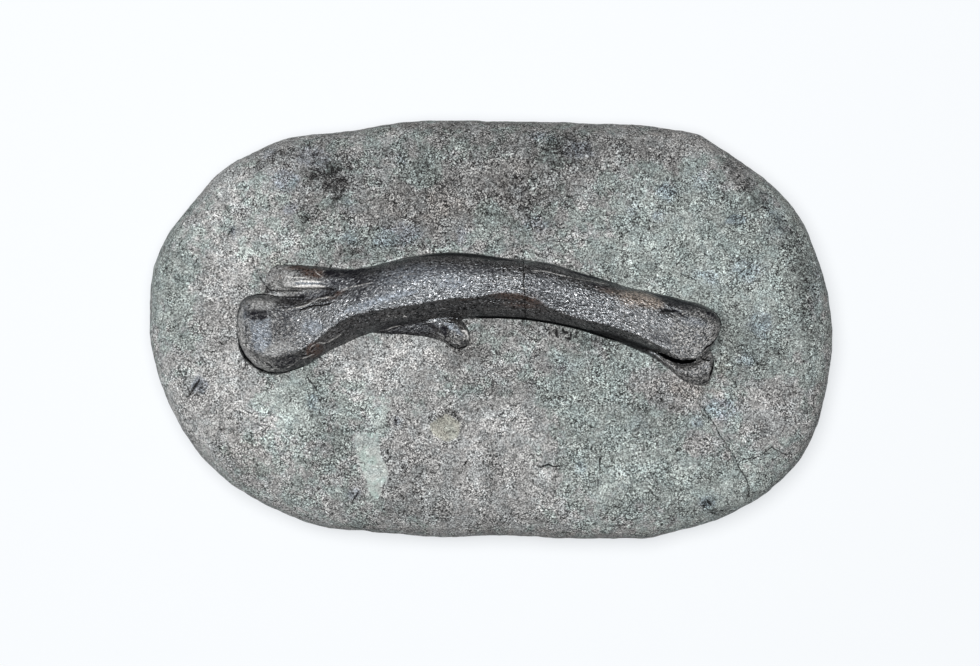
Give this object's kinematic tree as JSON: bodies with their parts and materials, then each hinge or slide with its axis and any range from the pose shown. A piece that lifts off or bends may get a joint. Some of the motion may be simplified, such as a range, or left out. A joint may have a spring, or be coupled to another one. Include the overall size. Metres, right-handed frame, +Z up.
{
  "type": "fossil ornithischian femur in a sandstone slab",
  "caption": "Bowed, glossy dark fossil thigh bone half embedded in an oblong, rounded slab of coarse grey-green sandstone that rests on a flat base.",
  "frame": {"origin": "on the flat base, under the middle of the slab", "axes": "+X along the slab towards the knee end of the bone, +Y towards the front edge of the bone, +Z up out of the weathered face"},
  "size_m": [0.2798, 0.1717, 0.047],
  "materials": {
    "sandstone": "rough, coarse grained, grey-green and grey-brown",
    "fossil_bone": "glossy dark brown-black mineralised bone, duller at both ends"
  },
  "bodies": {
    "root": {"matrix_slab": "sandstone", "femur": "fossil_bone"}
  },
  "joints": []
}
